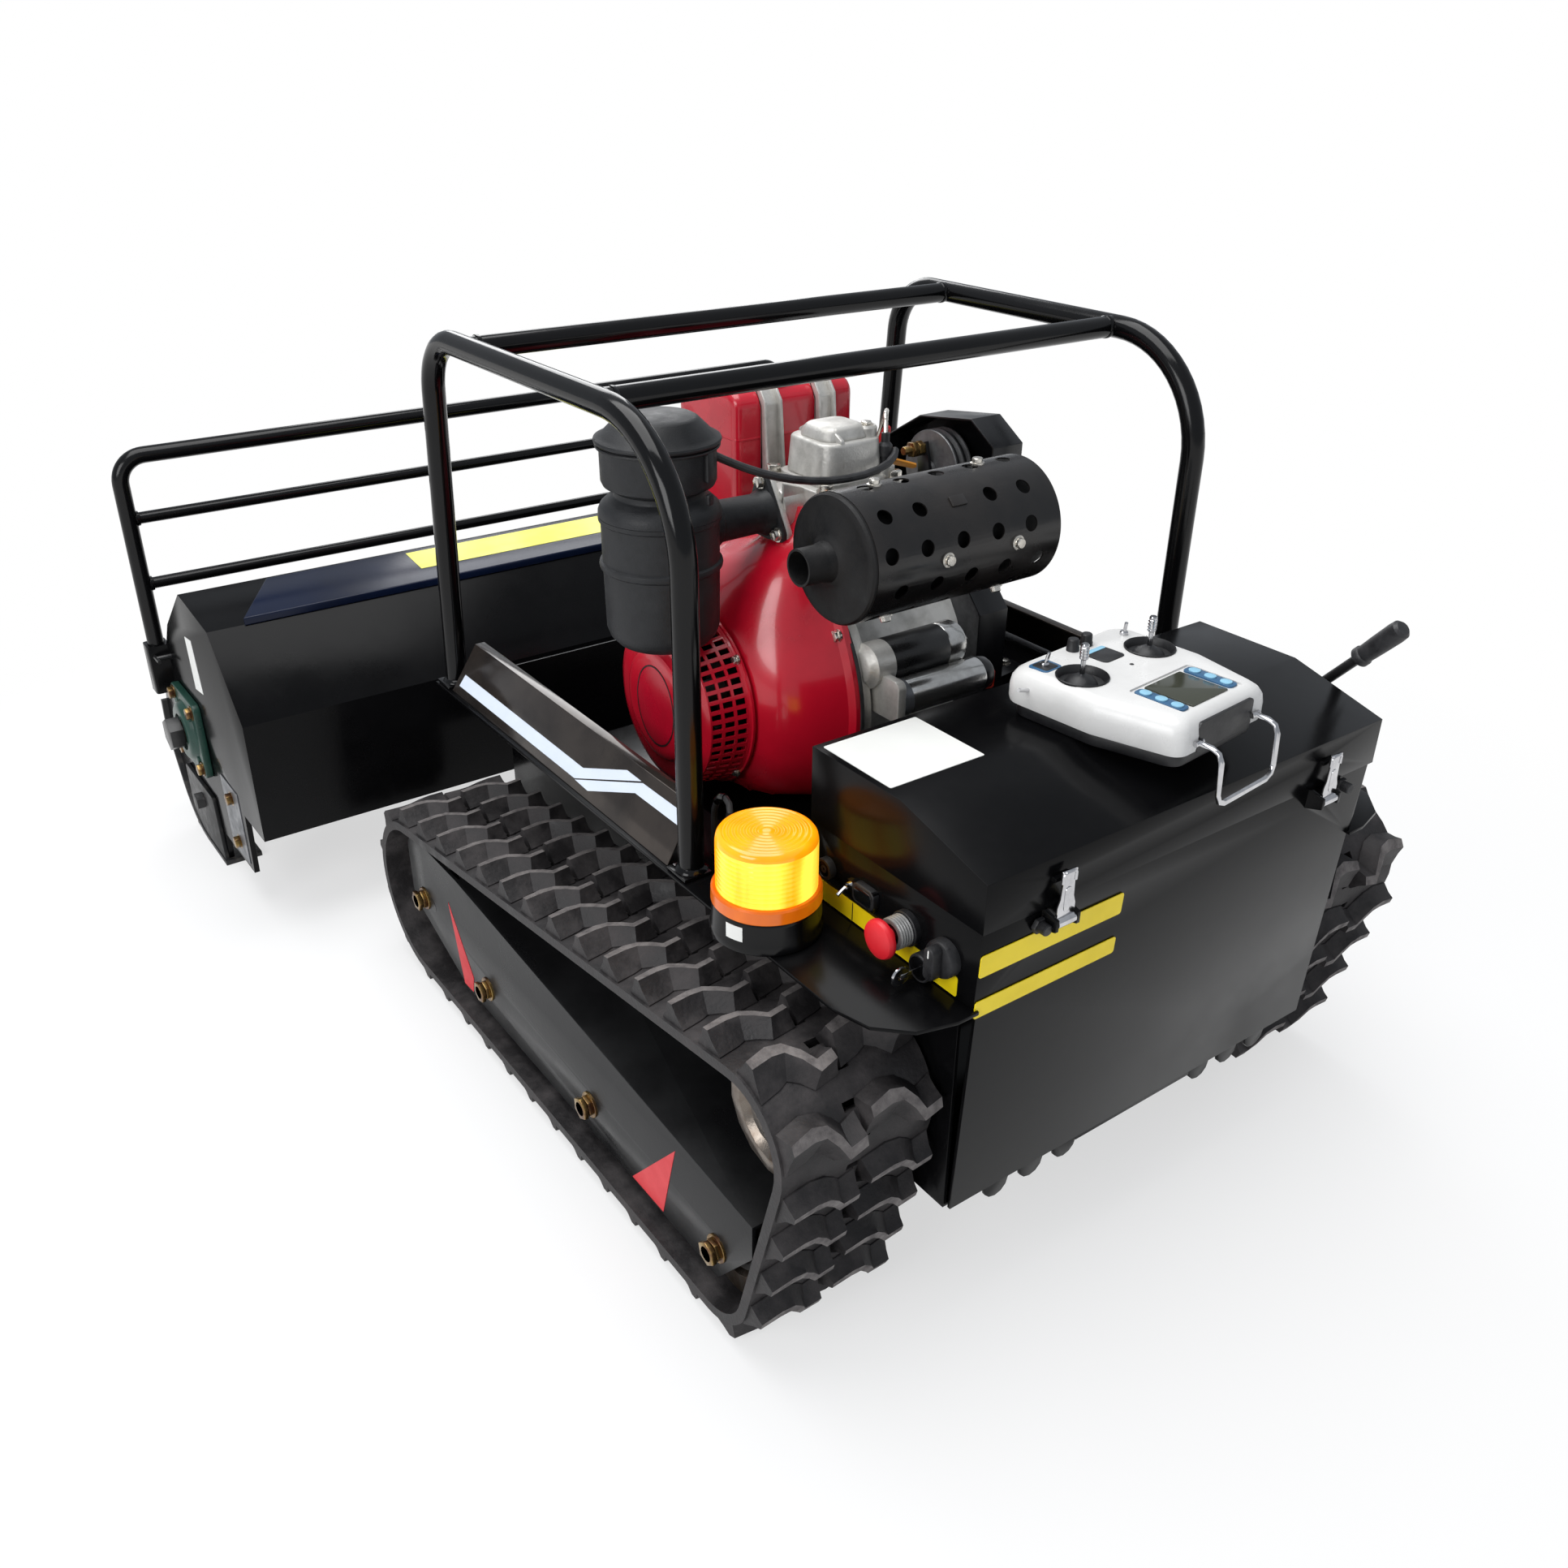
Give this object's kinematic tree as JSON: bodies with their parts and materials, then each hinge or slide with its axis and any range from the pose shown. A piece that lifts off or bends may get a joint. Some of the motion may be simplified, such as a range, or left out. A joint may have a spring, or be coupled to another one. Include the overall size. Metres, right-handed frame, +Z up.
{
  "type": "remote control slope mower",
  "caption": "Tracked remote control slope mower with a front flail deck, a caged air-cooled engine, an amber beacon and a transmitter on its control box.",
  "frame": {"origin": "middle of the footprint's bounding box, on the ground", "axes": "+Y forward towards the flail deck, +X to the machine's right, +Z up"},
  "size_m": [1.2858, 1.6766, 0.9072],
  "materials": {
    "black_gloss": "gloss",
    "black_satin": "satin",
    "polished_black": "polished",
    "rubber": "matt, dusty",
    "engine_red": "gloss",
    "cast_aluminium": "cast",
    "bare_steel": "satin",
    "zinc_yellow": "zinc plated",
    "filter_plastic": "matt",
    "control_red": "gloss",
    "amber_lens": "clear gloss",
    "shell_white": "satin",
    "chrome": "polished"
  },
  "bodies": {
    "chassis": {"chassis_tub": "black_satin", "track_frame_left": "black_satin", "track_frame_right": "black_satin", "track_belt_left": "rubber", "track_belt_right": "rubber", "side_fairing_left": "polished_black", "side_fairing_right": "polished_black", "roll_cage": "black_gloss", "control_box": "black_gloss", "beacon_base": "filter_plastic", "beacon_lens": "amber_lens", "crankcase": "cast_aluminium", "cylinder_head": "cast_aluminium", "fan_shroud": "engine_red", "recoil_cover": "black_satin", "fuel_tank": "engine_red", "air_filter_bowl": "filter_plastic", "air_filter_cap": "filter_plastic", "intake_pipe": "black_satin", "muffler": "black_satin", "heat_shield": "black_satin", "starter_motor": "black_satin", "belt_guard": "black_satin"},
    "drive_sprocket_left": {"drive_sprocket_left": "bare_steel"},
    "road_roller_left_1": {"road_roller_left_1": "bare_steel"},
    "road_roller_left_2": {"road_roller_left_2": "bare_steel"},
    "road_roller_left_3": {"road_roller_left_3": "bare_steel"},
    "front_idler_left": {"front_idler_left": "bare_steel"},
    "drive_sprocket_right": {"drive_sprocket_right": "bare_steel"},
    "road_roller_right_1": {"road_roller_right_1": "bare_steel"},
    "road_roller_right_2": {"road_roller_right_2": "bare_steel"},
    "road_roller_right_3": {"road_roller_right_3": "bare_steel"},
    "front_idler_right": {"front_idler_right": "bare_steel"},
    "lid": {"control_box_lid": "black_gloss"},
    "latch_left": {"latch_left": "black_satin"},
    "latch_right": {"latch_right": "black_satin"},
    "estop": {"estop_button": "control_red"},
    "start_knob": {"start_knob": "black_satin"},
    "ignition_key": {"ignition_key": "bare_steel"},
    "crank": {"crankshaft": "bare_steel", "cooling_fan": "black_satin"},
    "fuel_cap": {"fuel_cap": "black_satin"},
    "decompression_lever": {"decompression_lever": "control_red"},
    "clutch_lever": {"clutch_lever": "black_satin"},
    "deck": {"lift_frame": "black_satin", "deck_shell": "black_gloss", "skid_shoe_left": "black_satin", "skid_shoe_right": "black_satin", "rotor_bearing_left": "zinc_yellow", "rotor_bearing_right": "zinc_yellow", "guard_rack": "black_gloss"},
    "ram": {"lift_ram": "black_satin"},
    "rod": {"lift_rod": "chrome"},
    "front_flap": {"front_flap": "black_satin"},
    "rotor": {"flail_rotor": "bare_steel"},
    "remote": {"remote_case": "shell_white"},
    "stick_left": {"remote_stick_left": "black_satin"},
    "stick_right": {"remote_stick_right": "black_satin"},
    "bail": {"remote_bail": "chrome"}
  },
  "joints": [
    {"name": "drive_left", "type": "hinge", "parent": "chassis", "child": "drive_sprocket_left", "pos_m": [-0.378, -0.69244, 0.298], "axis": [1, 0, 0], "continuous": true},
    {"name": "road_roller_left_1_spin", "type": "hinge", "parent": "chassis", "child": "road_roller_left_1", "pos_m": [-0.378, -0.63744, 0.097], "axis": [1, 0, 0], "continuous": true},
    {"name": "road_roller_left_2_spin", "type": "hinge", "parent": "chassis", "child": "road_roller_left_2", "pos_m": [-0.378, -0.36744, 0.097], "axis": [1, 0, 0], "continuous": true},
    {"name": "road_roller_left_3_spin", "type": "hinge", "parent": "chassis", "child": "road_roller_left_3", "pos_m": [-0.378, -0.09244, 0.097], "axis": [1, 0, 0], "continuous": true},
    {"name": "front_idler_left_spin", "type": "hinge", "parent": "chassis", "child": "front_idler_left", "pos_m": [-0.378, 0.10156, 0.136], "axis": [1, 0, 0], "continuous": true},
    {"name": "drive_right", "type": "hinge", "parent": "chassis", "child": "drive_sprocket_right", "pos_m": [0.378, -0.69244, 0.298], "axis": [1, 0, 0], "continuous": true},
    {"name": "road_roller_right_1_spin", "type": "hinge", "parent": "chassis", "child": "road_roller_right_1", "pos_m": [0.378, -0.63744, 0.097], "axis": [1, 0, 0], "continuous": true},
    {"name": "road_roller_right_2_spin", "type": "hinge", "parent": "chassis", "child": "road_roller_right_2", "pos_m": [0.378, -0.36744, 0.097], "axis": [1, 0, 0], "continuous": true},
    {"name": "road_roller_right_3_spin", "type": "hinge", "parent": "chassis", "child": "road_roller_right_3", "pos_m": [0.378, -0.09244, 0.097], "axis": [1, 0, 0], "continuous": true},
    {"name": "front_idler_right_spin", "type": "hinge", "parent": "chassis", "child": "front_idler_right", "pos_m": [0.378, 0.10156, 0.136], "axis": [1, 0, 0], "continuous": true},
    {"name": "lid_hinge", "type": "hinge", "parent": "chassis", "child": "lid", "pos_m": [0, -0.55844, 0.53], "axis": [-1, 0, 0], "range_deg": [0, 38]},
    {"name": "latch_left_swing", "type": "hinge", "parent": "chassis", "child": "latch_left", "pos_m": [-0.195, -0.82244, 0.508], "axis": [1, 0, 0], "range_deg": [0, 100]},
    {"name": "latch_right_swing", "type": "hinge", "parent": "chassis", "child": "latch_right", "pos_m": [0.195, -0.82244, 0.508], "axis": [1, 0, 0], "range_deg": [0, 100]},
    {"name": "estop_press", "type": "slide", "parent": "chassis", "child": "estop", "axis": [1, 0, 0], "range_m": [0, 0.005], "stiffness_N_per_m": 400},
    {"name": "start_knob_turn", "type": "hinge", "parent": "chassis", "child": "start_knob", "pos_m": [-0.283, -0.76744, 0.472], "axis": [-1, 0, 0], "range_deg": [0, 60]},
    {"name": "key_turn", "type": "hinge", "parent": "chassis", "child": "ignition_key", "pos_m": [-0.295, -0.74344, 0.449], "axis": [-1, 0, 0], "range_deg": [0, 90]},
    {"name": "crank_spin", "type": "hinge", "parent": "chassis", "child": "crank", "pos_m": [0, -0.22644, 0.508], "axis": [1, 0, 0], "continuous": true},
    {"name": "fuel_cap_turn", "type": "hinge", "parent": "chassis", "child": "fuel_cap", "pos_m": [-0.02, -0.11744, 0.84], "axis": [0, 0, 1], "range_deg": [0, 90]},
    {"name": "decompression_swing", "type": "hinge", "parent": "chassis", "child": "decompression_lever", "pos_m": [0.0353, -0.23744, 0.738], "axis": [1, 0, 0], "range_deg": [-20, 35]},
    {"name": "clutch_swing", "type": "hinge", "parent": "chassis", "child": "clutch_lever", "pos_m": [0.33, -0.61144, 0.452], "axis": [-1, 0, 0], "range_deg": [0, 40]},
    {"name": "deck_lift", "type": "hinge", "parent": "chassis", "child": "deck", "pos_m": [0, 0.16856, 0.262], "axis": [1, 0, 0], "range_deg": [0, 14]},
    {"name": "ram_swing", "type": "hinge", "parent": "chassis", "child": "ram", "pos_m": [0, 0.16856, 0.36], "axis": [1, 0, 0], "range_deg": [-2, 15]},
    {"name": "rod_slide", "type": "slide", "parent": "ram", "child": "rod", "axis": [0, 0.8815, -0.4722], "range_m": [-0.026, 0.004]},
    {"name": "flap_swing", "type": "hinge", "parent": "deck", "child": "front_flap", "pos_m": [0, 0.80656, 0.255], "axis": [1, 0, 0], "range_deg": [-12, 75]},
    {"name": "rotor_spin", "type": "hinge", "parent": "deck", "child": "rotor", "pos_m": [0, 0.64056, 0.225], "axis": [1, 0, 0], "continuous": true},
    {"name": "remote_lift", "type": "slide", "parent": "lid", "child": "remote", "axis": [0, -0.848, 0.5299], "range_m": [0, 0.25]},
    {"name": "stick_left_tilt", "type": "hinge", "parent": "remote", "child": "stick_left", "pos_m": [-0.03871, -0.67518, 0.6543], "axis": [0.995, 0.0998, 0], "range_deg": [-12, 12], "stiffness_Nm_per_rad": 0.02},
    {"name": "stick_right_tilt", "type": "hinge", "parent": "remote", "child": "stick_right", "pos_m": [0.07272, -0.664, 0.6543], "axis": [0.995, 0.0998, 0], "range_deg": [-12, 12], "stiffness_Nm_per_rad": 0.02},
    {"name": "bail_swing", "type": "hinge", "parent": "remote", "child": "bail", "pos_m": [0.03031, -0.80222, 0.6283], "axis": [-0.995, -0.0998, 0], "range_deg": [0, 80]}
  ],
  "couplings": [
    {"joint": "road_roller_left_1_spin", "follows": "drive_left", "ratio": 1},
    {"joint": "road_roller_left_2_spin", "follows": "drive_left", "ratio": 1},
    {"joint": "road_roller_left_3_spin", "follows": "drive_left", "ratio": 1},
    {"joint": "front_idler_left_spin", "follows": "drive_left", "ratio": 0.625},
    {"joint": "road_roller_right_1_spin", "follows": "drive_right", "ratio": 1},
    {"joint": "road_roller_right_2_spin", "follows": "drive_right", "ratio": 1},
    {"joint": "road_roller_right_3_spin", "follows": "drive_right", "ratio": 1},
    {"joint": "front_idler_right_spin", "follows": "drive_right", "ratio": 0.625},
    {"joint": "ram_swing", "follows": "deck_lift", "ratio": 0.66},
    {"joint": "rod_slide", "follows": "deck_lift", "m_per_rad": -0.089}
  ]
}
